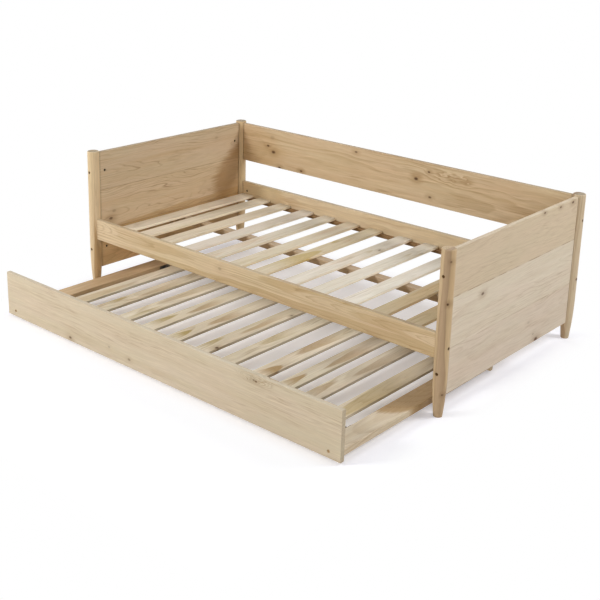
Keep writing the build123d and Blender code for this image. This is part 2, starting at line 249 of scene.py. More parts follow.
@dataclass(frozen=True)
class Pine:
    """Planed pine with a thin clear oil: soft sheen, rings that show as wide flames, fine fibres.

    Rings of real pine are 3 to 6 mm wide, too fine to show at this picture's scale, so ring_mm is drawn coarser.
    wobble_mm is how far the rings wander, and early the share of each that stays pale. streak and dash say how much
    wide tan streaks and fine dark dashes show, which are dash_mm long and wide. curls are places of curly grain. seams
    are the heights of glued joints, seam_tones the colours of the boards above them and seam_dark how dark their lines
    are. end dims the end grain. The light factor of the narrow faces along the board paints light and shade by which
    way they face: below 1 it is painted shade, above 1 a painted highlight. gloss is the oil's, and meets is how many
    millimetres from its middle the board goes into its posts, or 0; painted shade darkens the crease there. The
    material is named after its node unless name says otherwise.
    """

    node: str
    cut: Cut
    pith: Pith = Pith()
    ring_mm: float = 13.0
    wobble_mm: float = 14.0
    ring_strength: float = 0.45
    early: float = 0.2
    tone: Tone = Tone()
    streak: float = 0.5
    dash: float = 0.35
    dash_mm: tuple[float, float] = (190.0, 6.0)
    knots: tuple[Knot, ...] = ()
    curls: tuple[Knot, ...] = ()
    flames: tuple[Flame, ...] = ()
    seams: tuple[float, ...] = ()
    seam_tones: tuple[str, ...] = ()
    seam_dark: tuple[float, float] = (0.4, 0.4)
    painted_edge_light: float = 1.0
    end: float = 0.8
    gloss: float = 0.35
    meets: float = 0.0
    seed: float = 0.0
    name: str = ""

    @cached_property
    def middle(self) -> Triple:
        """Give the middle of the node's box, from which the pattern is measured."""
        return middle_mm(self.node)

    def apply(self) -> None:
        """Put the board's material on its node."""
        dress(self.node, self.material())

    def material(self) -> Material:
        """Build the board's node material.

        Returns:
            A material that reads Object coordinates.
        """
        material = empty_material(self.name or f"pine_{self.node}")
        tree = material.node_tree
        axes = self.cut.value
        place = add(tree, "TexCoord", {}, out="Object")
        scaled = add(tree, "VectorMath", {0: place, "Scale": 1 / MM}, operation="SCALE")
        local = add(tree, "VectorMath", {0: scaled, 1: self.middle}, operation="SUBTRACT")
        parts = add(tree, "SeparateXYZ", {0: local}).node.outputs
        along, face, deep = (parts[i] for i in axes)
        across, apart, step = self._boards(tree, face, deep)
        grain = add(tree, "CombineXYZ", {0: along, 1: across, 2: apart})

        # Slow wander of the trunk, tint of the wood, wide streaks, fine dark dashes and the fibres themselves.
        slow_at = add(tree, "VectorMath", {0: grain, 1: per_mm(*WANDER_MM)}, operation="MULTIPLY")
        slow = add(tree, "TexNoise", {"Vector": slow_at, "W": self.seed, "Detail": 2.5, "Scale": 1.0},
                   out="Color", noise_dimensions="4D")
        wander, tint, patchy = add(tree, "SeparateXYZ", {0: slow}).node.outputs
        wide_at = add(tree, "VectorMath", {0: grain, 1: per_mm(*STREAK_MM)}, operation="MULTIPLY")
        wide = add(tree, "TexNoise", {"Vector": wide_at, "W": self.seed + STREAK_SEED, "Detail": 3.0, "Scale": 1.0},
                   noise_dimensions="4D")
        bent = add(tree, "Math", {0: wander, 1: DASH_BEND_MM, 2: across}, operation="MULTIPLY_ADD")
        thin = add(tree, "CombineXYZ", {0: along, 1: bent, 2: apart})
        dash_at = add(tree, "VectorMath", {0: thin, 1: per_mm(*self.dash_mm)}, operation="MULTIPLY")
        dashes = add(tree, "TexNoise", {"Vector": dash_at, "W": self.seed + DASH_SEED, "Detail": 2.0, "Scale": 1.0},
                     noise_dimensions="4D")
        fibre_at = add(tree, "VectorMath", {0: grain, 1: per_mm(*FIBRE_MM)}, operation="MULTIPLY")
        fibres = add(tree, "TexNoise", {"Vector": fibre_at, "Detail": 2.0, "Scale": 1.0})

        core, halo = self._knots(tree, along, face, wander)
        radius, curled = self._radius(tree, along, across, deep, wander, halo)
        ring = self._rings(tree, radius, patchy, curled)

        streaks = add(tree, "MapRange", {0: wide, 1: 0.36, 2: 0.68, 3: 0.0, 4: self.streak})
        pale = linear(self.tone.pale)
        for number, code in enumerate(self.seam_tones, start=1):
            here = add(tree, "Math", {0: step, 1: float(number), 2: 0.4}, operation="COMPARE")
            pale = add(tree, "Mix", {0: here, 6: pale, 7: linear(code)}, **COLOURS)
        shade = add(tree, "Mix", {0: streaks, 6: pale, 7: linear(self.tone.tan)}, **COLOURS)
        if self.flames:
            shade, ring = self._flames(tree, shade, ring, along, face, wander, dashes)
        shade = add(tree, "Mix", {0: ring, 6: shade, 7: linear(self.tone.late)}, **COLOURS)
        shown = add(tree, "MapRange", {0: patchy, 1: 0.45, 2: 0.62, 3: 0.15, 4: 1.0})
        dash = add(tree, "MapRange", {0: dashes, 1: 0.54, 2: 0.7, 3: 0.0, 4: self.dash})
        dash = add(tree, "Math", {0: dash, 1: shown}, operation="MULTIPLY")
        shade = add(tree, "Mix", {0: dash, 6: shade, 7: linear(self.tone.late)}, **COLOURS)
        gleam = add(tree, "MapRange", {0: dashes, 1: 0.46, 2: 0.32, 3: 1.0, 4: 1.0 + 0.14 * self.dash})
        shade = add(tree, "VectorMath", {0: shade, "Scale": gleam}, operation="SCALE")
        hue = add(tree, "MapRange", {0: tint, 1: 0.35, 2: 0.65})
        cast = add(tree, "Mix", {0: hue, 6: RED_CAST, 7: OLIVE_CAST}, **COLOURS)
        shade = add(tree, "VectorMath", {0: shade, 1: cast}, operation="MULTIPLY")
        fibre = add(tree, "MapRange", {0: fibres, 1: 0.3, 2: 0.7, 3: 0.94, 4: 1.05})
        shade = add(tree, "VectorMath", {0: shade, "Scale": fibre}, operation="SCALE")
        if core is not None:
            brown = add(tree, "Math", {0: halo, 1: 0.5}, operation="MULTIPLY")
            shade = add(tree, "Mix", {0: brown, 6: shade, 7: linear(self.tone.late)}, **COLOURS)
            shade = add(tree, "Mix", {0: core, 6: shade, 7: linear(self.tone.knot)}, **COLOURS)
        for seam, dark in zip(self.seams, self.seam_dark):
            shade = self._glue_line(tree, shade, face, along, seam, dark)
        normal = add(tree, "TexCoord", {}, out="Normal")
        facing = add(tree, "SeparateXYZ", {0: normal}).node.outputs
        # Dim the end grain, and paint light on the narrow faces along the board by which way they face: painted shade
        # where the factor is below 1, a painted highlight where it is above 1.
        for axis, part in ((axes[0], self.end), (axes[1], self.painted_edge_light)):
            turned = add(tree, "Math", {0: facing[axis]}, operation="ABSOLUTE")
            dim = add(tree, "MapRange", {0: turned, 1: 0.6, 2: 0.95, 3: 1.0, 4: part})
            shade = add(tree, "VectorMath", {0: shade, "Scale": dim}, operation="SCALE")
        # Painted shade in the crease where the board goes into its posts, darkening its last millimetres.
        if self.meets:
            off = add(tree, "Math", {0: along}, operation="ABSOLUTE")
            dim = add(tree, "MapRange", {0: off, 1: self.meets - CREASE_SHADE_MM, 2: self.meets, 3: 1.0, 4: CREASE_SHADE_DIM}, **SOFT)
            shade = add(tree, "VectorMath", {0: shade, "Scale": dim}, operation="SCALE")

        rough = add(tree, "MapRange", {0: dashes, 1: 0.3, 2: 0.7, 3: 0.46, 4: 0.62})
        ridge = add(tree, "Math", {0: fibres, 1: 0.5, 2: ring}, operation="MULTIPLY_ADD")
        bump = add(tree, "Bump", {"Height": ridge, "Strength": 0.18, "Distance": FIBRE_DEPTH_M})
        surface = add(tree, "BsdfPrincipled", {
            "Base Color": shade, "Roughness": rough, "Normal": bump, "IOR": OIL_IOR, "Specular IOR Level": self.gloss,
        })
        add(tree, "OutputMaterial", {"Surface": surface})
        return material

    def _from_middle(self, along: float, across: float) -> tuple[float, float]:
        """Turn a place in row millimetres into one from the board's middle."""
        return along - self.middle[self.cut.value[0]], across - self.middle[self.cut.value[1]]

    def _boards(self, tree: Tree, face: Socket, deep: Socket) -> tuple[Socket, Socket, Socket | None]:
        """Give each glued board of a panel its own grain.

        Args:
            tree: The material's node tree.
            face: Millimetres across the whole panel from its middle.
            deep: Millimetres through the panel from its middle.

        Returns:
            Millimetres across each board from its own middle, a depth that keeps the boards' noises apart, and the
            board's number, or None for a single board.
        """
        if not self.seams:
            return face, deep, None
        middle = self.middle[self.cut.value[1]]
        step = None
        for seam in self.seams:
            above = add(tree, "Math", {0: face, 1: seam - middle}, operation="GREATER_THAN")
            step = above if step is None else add(tree, "Math", {0: step, 1: above}, operation="ADD")
        width = self.seams[1] - self.seams[0]
        lowest = self.seams[0] - width / 2 - middle
        own = add(tree, "Math", {0: step, 1: -width, 2: face}, operation="MULTIPLY_ADD")
        across = add(tree, "Math", {0: own, 1: lowest}, operation="SUBTRACT")
        apart = add(tree, "Math", {0: step, 1: BOARD_APART_MM, 2: deep}, operation="MULTIPLY_ADD")
        return across, apart, step

    def _radius(
        self, tree: Tree, along: Socket, across: Socket, deep: Socket, wander: Socket, halo: Socket | None
    ) -> tuple[Socket, Socket | None]:
        """Measure how far each point lies from the tree's middle, bent by the trunk's wander and by knots.

        Args:
            tree: The material's node tree.
            along: Millimetres along the grain.
            across: Millimetres across the board.
            deep: Millimetres through the board.
            wander: Slow noise of the trunk.
            halo: Mask round the knots, or None.

        Returns:
            The bent distance in millimetres, and the mask of curly grain or None.
        """
        metres = add(tree, "Math", {0: along, 1: MM}, operation="MULTIPLY")
        slope = add(tree, "Math", {0: metres, 1: self.pith.bow, 2: self.pith.lean}, operation="MULTIPLY_ADD")
        sunk = add(tree, "Math", {0: slope, 1: metres, 2: self.pith.deep}, operation="MULTIPLY_ADD")
        below = add(tree, "Math", {0: deep, 1: sunk}, operation="SUBTRACT")
        beside = add(tree, "Math", {0: across, 1: self.pith.across}, operation="SUBTRACT")
        away = add(tree, "CombineXYZ", {0: beside, 1: below})
        radius = add(tree, "VectorMath", {0: away}, out="Value", operation="LENGTH")
        radius = add(tree, "Math", {0: wander, 1: 4 * self.wobble_mm, 2: radius}, operation="MULTIPLY_ADD")
        radius = add(tree, "Math", {0: radius, 1: 2 * self.wobble_mm}, operation="SUBTRACT")
        if halo is not None:
            radius = add(tree, "Math", {0: halo, 1: 0.6 * self.ring_mm, 2: radius}, operation="MULTIPLY_ADD")
        spot = add(tree, "CombineXYZ", {0: along, 1: across})
        curled = None
        for curl in self.curls:
            at = (*self._from_middle(curl.along, curl.across), 0.0)
            off = add(tree, "VectorMath", {0: spot, 1: at}, operation="SUBTRACT")
            off = add(tree, "VectorMath", {0: off, 1: (0.28, 1.0, 0.0)}, operation="MULTIPLY")
            near = add(tree, "VectorMath", {0: off}, out="Value", operation="LENGTH")
            mask = add(tree, "MapRange", {0: near, 1: curl.radius, 2: 0.3 * curl.radius}, **SOFT)
            knotted_at = add(tree, "VectorMath", {0: off, 1: (1 / CURL_MM, 1 / CURL_MM, 0.0)}, operation="MULTIPLY")
            knotted = add(tree, "TexNoise", {"Vector": knotted_at, "Scale": 1.0, "Detail": 1.0})
            push = add(tree, "Math", {0: knotted, 1: mask}, operation="MULTIPLY")
            radius = add(tree, "Math", {0: push, 1: CURL_PUSH_MM * curl.dark, 2: radius}, operation="MULTIPLY_ADD")
            curled = mask if curled is None else add(tree, "Math", {0: curled, 1: mask}, operation="MAXIMUM")
        return radius, curled

    def _flames(
        self, tree: Tree, shade: Socket, ring: Socket, along: Socket, face: Socket, wander: Socket, dashes: Socket
    ) -> tuple[Socket, Socket]:
        """Lay the board's flames over its plain wood, each with nested arches that follow its outline.

        Args:
            tree: The material's node tree.
            shade: Colour so far.
            ring: Late wood of the straight rings.
            along: Millimetres along the grain from the board's middle.
            face: Millimetres across the board from its middle.
            wander: Slow noise that bends the flames.
            dashes: Fine noise that frays their edges.

        Returns:
            The colour with the flames, and the straight rings with room left for the arches.
        """
        bent = add(tree, "Math", {0: wander, 1: FLAME_BEND_MM, 2: face}, operation="MULTIPLY_ADD")
        for flame in self.flames:
            tip, centre = self._from_middle(flame.along, flame.across)
            centre += FLAME_BEND_MM / 2
            run = add(tree, "Math", {0: along, 1: 1 / flame.opening, 2: -tip / flame.opening},
                      operation="MULTIPLY_ADD")
            side = add(tree, "Math", {0: bent, 1: 1 / flame.half_mm, 2: -centre / flame.half_mm},
                       operation="MULTIPLY_ADD")
            square = add(tree, "Math", {0: side, 1: side}, operation="MULTIPLY")
            level = add(tree, "Math", {0: run, 1: square}, operation="SUBTRACT")
            level = add(tree, "Math", {0: dashes, 1: 0.6, 2: level}, operation="MULTIPLY_ADD")
            inside = add(tree, "MapRange", {0: level, 1: 0.22, 2: 0.56, 4: flame.strength})
            fade = add(tree, "MapRange", {0: run, 1: flame.length, 2: 0.35 * flame.length}, **SOFT)
            inside = add(tree, "Math", {0: inside, 1: fade}, operation="MULTIPLY")
            shade = add(tree, "Mix", {0: inside, 6: shade, 7: linear(flame.colour)}, **COLOURS)
            nested = add(tree, "Math", {0: level, 1: flame.rings, 2: -0.28 * flame.rings}, operation="MULTIPLY_ADD")
            phase = add(tree, "Math", {0: nested}, operation="FRACT")
            arch = add(tree, "MapRange", {0: phase, 1: 0.34, 2: 0.04, 4: 0.5})
            arch = add(tree, "Math", {0: arch, 1: inside}, operation="MULTIPLY")
            shade = add(tree, "Mix", {0: arch, 6: shade, 7: linear(self.tone.late)}, **COLOURS)
            room = add(tree, "Math", {0: inside, 1: -0.7, 2: 1.0}, operation="MULTIPLY_ADD")
            ring = add(tree, "Math", {0: ring, 1: room}, operation="MULTIPLY")
        return shade, ring

    def _rings(self, tree: Tree, radius: Socket, patchy: Socket, curled: Socket | None) -> Socket:
        """Draw year rings: each grows slowly darker and ends sharply, and no two are as wide or as dark.

        Args:
            tree: The material's node tree.
            radius: Millimetres from the tree's middle.
            patchy: Slow noise that lets the rings fade in places.
            curled: Mask of curly grain, where the rings show most, or None.

        Returns:
            How much late wood shows: up to the board's ring strength, and more in curly grain.
        """
        at = add(tree, "Math", {0: radius, 1: 1 / (2.4 * self.ring_mm)}, operation="MULTIPLY")
        uneven = add(tree, "TexNoise", {"W": at, "Scale": 1.0, "Detail": 1.0}, noise_dimensions="1D")
        spread = add(tree, "Math", {0: uneven, 1: 1.6 * self.ring_mm, 2: radius}, operation="MULTIPLY_ADD")
        turns = add(tree, "Math", {0: spread, 1: self.ring_mm}, operation="DIVIDE")
        phase = add(tree, "Math", {0: turns}, operation="FRACT")
        year = add(tree, "Math", {0: turns}, operation="FLOOR")
        lot = add(tree, "TexWhiteNoise", {"W": year}, noise_dimensions="1D")
        rise = add(tree, "MapRange", {0: phase, 1: self.early, 2: 0.88}, **SOFT)
        fall = add(tree, "MapRange", {0: phase, 1: 1.0, 2: 0.88})
        ring = add(tree, "Math", {0: rise, 1: fall}, operation="MULTIPLY")
        dark = add(tree, "MapRange", {0: lot, 3: 0.25, 4: 1.0})
        ring = add(tree, "Math", {0: ring, 1: dark}, operation="MULTIPLY")
        share = add(tree, "MapRange",
                    {0: patchy, 1: 0.36, 2: 0.62, 3: 0.25 * self.ring_strength, 4: self.ring_strength})
        if curled is not None:
            share = add(tree, "Math", {0: curled, 1: 0.5, 2: share}, operation="MULTIPLY_ADD")
        return add(tree, "Math", {0: ring, 1: share}, operation="MULTIPLY")

    def _knots(
        self, tree: Tree, along: Socket, face: Socket, wander: Socket
    ) -> tuple[Socket | None, Socket | None]:
        """Add the masks of the board's knots.

        Args:
            tree: The material's node tree.
            along: Millimetres along the grain from the board's middle.
            face: Millimetres across the board or panel.
            wander: Slow noise that bends the knots' outlines.

        Returns:
            Sockets of the dark core and of the wide halo, or two Nones without knots.
        """
        if not self.knots:
            return None, None
        bent = add(tree, "Math", {0: wander, 1: KNOT_BEND_MM, 2: face}, operation="MULTIPLY_ADD")
        spot = add(tree, "CombineXYZ", {0: along, 1: bent})
        core = halo = None
        for knot in self.knots:
            at_along, at_across = self._from_middle(knot.along, knot.across)
            at = (at_along, at_across + KNOT_BEND_MM / 2, 0.0)
            off = add(tree, "VectorMath", {0: spot, 1: at}, operation="SUBTRACT")
            squeezed = add(tree, "VectorMath", {0: off, 1: (0.62, 1.0, 0.0)}, operation="MULTIPLY")
            away = add(tree, "VectorMath", {0: squeezed}, out="Value", operation="LENGTH")
            dark = add(tree, "MapRange", {0: away, 1: 1.15 * knot.radius, 2: 0.5 * knot.radius, 4: knot.dark})
            wide = add(tree, "MapRange", {0: away, 1: 4.5 * knot.radius, 2: 0.6 * knot.radius, 4: knot.dark}, **SOFT)
            core = dark if core is None else add(tree, "Math", {0: core, 1: dark}, operation="MAXIMUM")
            halo = wide if halo is None else add(tree, "Math", {0: halo, 1: wide}, operation="MAXIMUM")
        return core, halo

    def _glue_line(
        self, tree: Tree, shade: Socket, face: Socket, along: Socket, seam: float, most: float
    ) -> Socket:
        """Draw the thin broken line where two boards are glued along their long sides.

        Args:
            tree: The material's node tree.
            shade: Colour so far.
            face: Millimetres across the panel.
            along: Millimetres along the grain.
            seam: Height of the joint in row millimetres.
            most: Strength of the line where it shows best.

        Returns:
            The colour with the line.
        """
        off = add(tree, "Math", {0: face, 1: seam - self.middle[self.cut.value[1]]}, operation="SUBTRACT")
        near = add(tree, "Math", {0: off}, operation="ABSOLUTE")
        line = add(tree, "MapRange", {0: near, 1: GLUE_START_MM, 2: GLUE_DARK_MM})
        run_at = add(tree, "Math", {0: along, 1: 1 / GLUE_RUN_MM, 2: seam}, operation="MULTIPLY_ADD")
        run = add(tree, "TexNoise", {"W": run_at, "Scale": 1.0, "Detail": 1.0}, noise_dimensions="1D")
        gaps = add(tree, "MapRange", {0: run, 1: 0.35, 2: 0.6, 3: 0.1, 4: most})
        dark = add(tree, "Math", {0: line, 1: gaps}, operation="MULTIPLY")
        return add(tree, "Mix", {0: dark, 6: shade, 7: linear(self.tone.late)}, **COLOURS)


@dataclass(frozen=True)
class Skin:
    """A finish with faint clouds of a second colour, drawn cloud_mm wide, coarser than real ones, so that they show.

    clear and thick are the noise at which a cloud starts and is full, and uneven is how far roughness strays. shader
    names one more socket of the shader and its value.
    """

    name: str
    colour: str
    cloud: str
    roughness: float
    cloud_mm: float = 3.0
    detail: float = 3.0
    clear: float = 0.35
    thick: float = 0.65
    uneven: tuple[float, float] = (-0.06, 0.08)
    shader: tuple[str, float] = ("Metallic", 1.0)

    def material(self) -> Material:
        """Build the finish's node material.

        Returns:
            A material that reads Object coordinates.
        """
        material = empty_material(self.name)
        tree = material.node_tree
        place = add(tree, "TexCoord", {}, out="Object")
        cloud = add(tree, "TexNoise", {"Vector": place, "Scale": 1 / (self.cloud_mm * MM), "Detail": self.detail})
        part = add(tree, "MapRange", {0: cloud, 1: self.clear, 2: self.thick})
        shade = add(tree, "Mix", {0: part, 6: linear(self.colour), 7: linear(self.cloud)}, **COLOURS)
        least, most = (self.roughness + step for step in self.uneven)
        rough = add(tree, "MapRange", {0: cloud, 1: 0.3, 2: 0.7, 3: least, 4: most})
        socket, value = self.shader
        surface = add(tree, "BsdfPrincipled", {"Base Color": shade, "Roughness": rough, socket: value})
        add(tree, "OutputMaterial", {"Surface": surface})
        return material


@dataclass(frozen=True)
class Metal(Skin):
    """Bronzed, blackened or zinc-plated steel: a thin skin, slightly cloudy, on turned or pressed metal."""


@dataclass(frozen=True)
class Nylon(Skin):
    """Moulded dark nylon: satin, with a faint mottled skin and light scuffs."""

    roughness: float = 0.45
    cloud_mm: float = 4.0
    detail: float = 4.0
    clear: float = 0.5
    thick: float = 0.75
    uneven: tuple[float, float] = (-0.05, 0.1)
    shader: tuple[str, float] = ("IOR", NYLON_IOR)


@dataclass
class Daybed:
    """The part that stands still: posts, end panels, rails, backrest and slatted deck.

    Sizes are in row millimetres: the bed's middle, the heights of the panels' two joints, and where each cap of the
    backrest sits, with its radius, its thickness and how far its rim is rounded.
    """

    bed_y: float = 248.0
    seams: tuple[float, float] = (260.0, 457.0)
    slat_count: int = 13
    cap_x: float = 918.0
    cap_z: float = 537.0
    cap_radius: float = 7.2
    cap_thick: float = 0.9
    cap_round: float = 0.3
    cap_segments: int = 32
    seed: int = 11

    def posts(self) -> None:
        """Dress the four turned posts, cut along the grain."""
        # Colours, how dim the end grain is, then the tip, place across and colour of a darker strip down one side,
        # which is painted shade on the post's shaded side.
        posts = {
            "front_left": (Tone("E3CDAA", "D1B48C", "AC895E"), 0.5, 330, 21, "B28C5A"),
            "front_right": (Tone("D2BB98", "C09F78", "8F7150"), 0.85, 900, 9, "B3987F"),
            "back_left": (Tone("DFC7A0", "CDAF85", "A9865C"), 0.42, 700, -22, "B08A5E"),
            "back_right": (Tone("D6C7AD", "C5AD8E", "A78763"), 0.55, 900, -14, "AE8F70"),
        }
        for number, (name, (tone, end, tip, aside, painted_shade)) in enumerate(posts.items()):
            node = f"post_{name}"
            middle = middle_mm(node)
            shade_strip = Flame(tip, middle[0] + aside, -max(300, tip - 300), 15, painted_shade, 0.7, 3.0, 0.4)
            knots = ()
            if name == "front_right":
                side = middle[0] + 21
                knots = knot_rows((607, side, 3.0, 0.6), (448, side, 3.5, 1.0), (95, side, 3.0, 0.7))
            Pine(
                node, Cut.TURNED, pith=Pith(34.0, 22.0, lean=14.0), ring_mm=9.0, wobble_mm=4.0, ring_strength=0.5,
                tone=tone, dash=0.4, dash_mm=(120.0, 5.0), knots=knots, flames=(shade_strip,), end=end, seed=2.3 * number,
            ).apply()

    def panels(self) -> None:
        """Dress the end panels, each of three glued boards."""
        right_knots = knot_rows(
            (181, 634, 5, 0.9), (314, 630, 5, 0.85), (421, 629, 6, 1.0), (-256, 415, 7, 0.8),
            (204, 86, 9, 1.0), (177, 116, 4, 0.4), (129, 182, 6, 0.2), start=self.bed_y,
        )
        left_knots = knot_rows(
            (300, 590, 8, 0.2), (-408, 306, 8, 0.75), (-388, 340, 8, 0.3), start=self.bed_y,
        )
        # The first flame is painted shade near the back post, the second painted light low at the front below the front
        # rail, and the third a thin darker band just above the deck. The panel's light factor of 0.6 paints shade on
        # its top face.
        left_painted_light_and_flames = (
            Flame(520, 340, 200, 200, "B58A54", 0.6, 4.0, 0.5), Flame(120, 150, -120, 80, "E6BE90", 0.65, 3.2, 1.0),
            Flame(-160, 262, 320, 22, "B8935F", 0.55, 5.0, 1.0),
        )
        Pine(
            "end_panel_right", Cut.UPRIGHT_END, pith=Pith(30.0, -46.0, lean=30.0, bow=40.0), ring_mm=13.0,
            wobble_mm=18.0, ring_strength=0.26, early=0.5,
            tone=Tone("DACEC0", "CFBFAA", "9F8467"), streak=0.4, dash=0.32, dash_mm=(80.0, 4.0),
            knots=right_knots, seams=self.seams, seam_tones=("DFD5C6", "D3C3AB"), seam_dark=(0.4, 0.9), seed=21.0,
        ).apply()
        Pine(
            "end_panel_left", Cut.UPRIGHT_END, pith=Pith(-24.0, 50.0, lean=40.0, bow=-60.0), ring_mm=12.0,
            wobble_mm=24.0, ring_strength=0.6, early=0.62,
            tone=Tone("CDAC80", "BE9E72", "8A6642"), streak=0.45, dash=0.35, dash_mm=(85.0, 5.0),
            knots=left_knots, flames=left_painted_light_and_flames, seams=self.seams, seam_tones=("D4BEA0", "D1BCA0"), painted_edge_light=0.6,
            meets=473.0, seed=33.0,
        ).apply()

    def rails(self) -> None:
        """Dress the backrest and the two rails, which run along the bed."""
        back_knots = knot_rows(
            (-770, 550, 6, 0.9), (-732, 522, 9, 0.9), (-689, 447, 6, 1.0), (-541, 456, 6, 0.9), (-195, 619, 6, 0.7),
            (231, 600, 5, 0.9), (162, 555, 8, 0.95), (244, 482, 6, 0.8), (-741, 596, 10, 0.2),
        )
        # The backrest's flame at its left end is painted shade beside the back left post, and its light factor of 0.62,
        # like the rails', paints shade on the narrow top and bottom faces.
        Pine(
            "backrest_board", Cut.UPRIGHT_LONG, name="pine_backrest", pith=Pith(-34.0, 60.0, lean=24.0, bow=20.0),
            ring_mm=17.0, wobble_mm=16.0, ring_strength=0.5, tone=Tone("D8C1A0", "C5A77F", "9C7848"),
            streak=0.6, dash=0.5, dash_mm=(150.0, 6.0), knots=back_knots, curls=(Knot(360, 590, 46, 0.8),),
            flames=(Flame(-640, 525, -200, 110, "C29D6D", 0.3, 5.0, 1.5),), painted_edge_light=0.62, meets=953.0, seed=41.0,
        ).apply()
        # Painted light on the back rail's left end, which lies in shade by the back left post, and painted shade on its
        # right end.
        rail_painted_light_and_shade = (
            Flame(-640, 275, -160, 90, "F0DAB2", 0.85, 5.0, 0.5), Flame(560, 280, 220, 60, "CBB38E", 0.6, 5.0, 1.0),
        )
        Pine(
            "back_rail", Cut.UPRIGHT_LONG, pith=Pith(-10.0, 60.0, bow=30.0), ring_mm=14.0, ring_strength=0.5,
            tone=Tone("E4D0B0", "D4BA91", "AE8A58"), dash=0.6, painted_edge_light=0.62, meets=953.0, seed=47.0,
            flames=rail_painted_light_and_shade,
        ).apply()
        tan, straw = "CAB189", "E0CBAC"
        flames = (
            Flame(-330, 290, -330, 30, tan, 0.85, 1.6, 1.5), Flame(-785, 286, -110, 30, straw, 0.8, 2.0, 2.0),
            Flame(80, 306, 240, 26, tan, 0.9, 5.0, 1.2), Flame(235, 293, 230, 20, straw, 0.75, 4.0, 2.0),
            Flame(540, 291, 200, 22, tan, 0.75, 3.0, 1.5), Flame(790, 288, 120, 18, straw, 0.75, 3.0, 1.5),
            Flame(-820, 238, 420, 14, tan, 0.8, 9.0, 2.0),
        )
        Pine(
            "front_rail", Cut.UPRIGHT_LONG, pith=Pith(-95.0, 20.0, lean=8.0), ring_mm=12.0, wobble_mm=7.0,
            ring_strength=0.62, tone=Tone("DEC9A8", "CFB894", "A07D50"), streak=0.4, dash=0.4,
            knots=(Knot(-140, 288, 7, 0.3),), flames=flames, painted_edge_light=0.7, seed=52.0,
        ).apply()

    def caps(self) -> None:
        """Glue a thin turned cap over each nut of the backrest, whose face shows no hardware."""
        low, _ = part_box("backrest_board")
        radius, half = self.cap_radius * MM, self.cap_thick / 2 * MM
        shape = bmesh.new()
        for x in (-self.cap_x, self.cap_x):
            spot = Vector((x * MM, low[1] - half, self.cap_z * MM))
            bmesh.ops.create_cone(
                shape, cap_ends=True, segments=self.cap_segments, radius1=radius, radius2=radius, depth=2 * half,
                matrix=Matrix.Translation(spot) @ Matrix.Rotation(math.pi / 2, 4, "X"),
            )
        front = [e for e in shape.edges if all(v.co.y < low[1] - half for v in e.verts)]
        bmesh.ops.bevel(
            shape, geom=front, offset=self.cap_round * MM, offset_type="OFFSET", segments=3, profile=0.5,
            affect="EDGES", material=-1,
        )
        tone = Tone("CDB28C", "C2A67E", "A8875A")
        wood = Pine("backrest_board", Cut.UPRIGHT_LONG, name="pine_caps", tone=tone, seed=43.0)
        piece = make_piece("backrest_caps", shape, wood.material())
        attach(piece, "daybed")

    def deck(self) -> None:
        """Dress the slats and what carries them."""
        late = "AC966F"
        cream = Tone("DBCFBB", "CFBD9F", late)
        white = Tone("DDD6CA", "D2C6B3", "B0A083")
        honey_and_panel_shade = Tone("D7CAAE", "C6B38E", "A0875B")
        # Slats 11 to 13 lie in the right end panel's shadow; their darker tones are partly the wood's and partly
        # painted shade.
        tones = {
            1: Tone("EFE4D2", "E4D4BA", late), 2: Tone("E3D8C4", "D8C8AC", late), 3: cream,
            4: Tone("D8CFC2", "CCBFAC", late), 5: Tone("D5CCBC", "C9BAA2", late),
            6: Tone("D4C9B4", "C8B798", late), 7: Tone("D0C3AA", "C0AE8B", "A08860"),
            8: white, 9: white, 10: Tone("E3DDD3", "D8CDBD", "B0A083"),
            11: Tone("C2B498", "B29F7A", "957B52"), 12: honey_and_panel_shade, 13: honey_and_panel_shade,
        }
        olive, rose = "B09B66", "CDB393"
        flames = {
            5: (Flame(300, -350, -160, 14, rose, 0.5), Flame(-20, -335, -90, 14, rose, 0.45)),
            6: (Flame(420, -200, 180, 16, rose, 0.5), Flame(60, -185, -120, 14, olive, 0.35)),
            7: (Flame(300, -44, -70, 26, "B39D63", 0.9, 5.0), Flame(405, -76, 50, 13, olive, 0.8, 1.6),
                Flame(540, -45, -60, 13, rose, 0.7, 1.6)),
            8: (Flame(475, 130, -45, 12, olive, 0.5, 1.6), Flame(120, 110, 200, 16, rose, 0.4)),
            9: (Flame(565, 283, -50, 10, olive, 0.5, 1.6),),
            # The flames of slats 11 to 13 also paint part of the right end panel's shade.
            11: (Flame(500, 600, -260, 26, "BCA173", 0.7, 3.0),),
            12: (Flame(420, 745, -200, 30, "B89B6A", 0.7, 4.0),),
            13: (Flame(300, 905, -200, 30, "B89B6A", 0.7, 4.0),),
        }
        draw = random.Random(self.seed)
        for number in range(1, self.slat_count + 1):
            node = f"deck_slat_{number:02d}"
            pith = Pith(draw.uniform(-30, 30), draw.uniform(-70, -45), draw.uniform(-50, 50), draw.uniform(-40, 40))
            knots = (Knot(492.0, middle_mm(node)[0] + 26, 6.0, 1.0),) if number == 8 else ()
            # The light factor of 1.3 paints a highlight on the slats' long side faces.
            Pine(
                node, Cut.FLAT_CROSS, pith=pith, ring_mm=12.0, wobble_mm=draw.uniform(8, 14),
                ring_strength=draw.uniform(0.2, 0.4), tone=tones[number], dash=0.5, dash_mm=(120.0, 5.0), knots=knots,
                flames=flames.get(number, ()), painted_edge_light=1.3, seed=100.0 + 3.7 * number,
            ).apply()
        plain = Tone("CDB592", "BC9E74", "A58355")
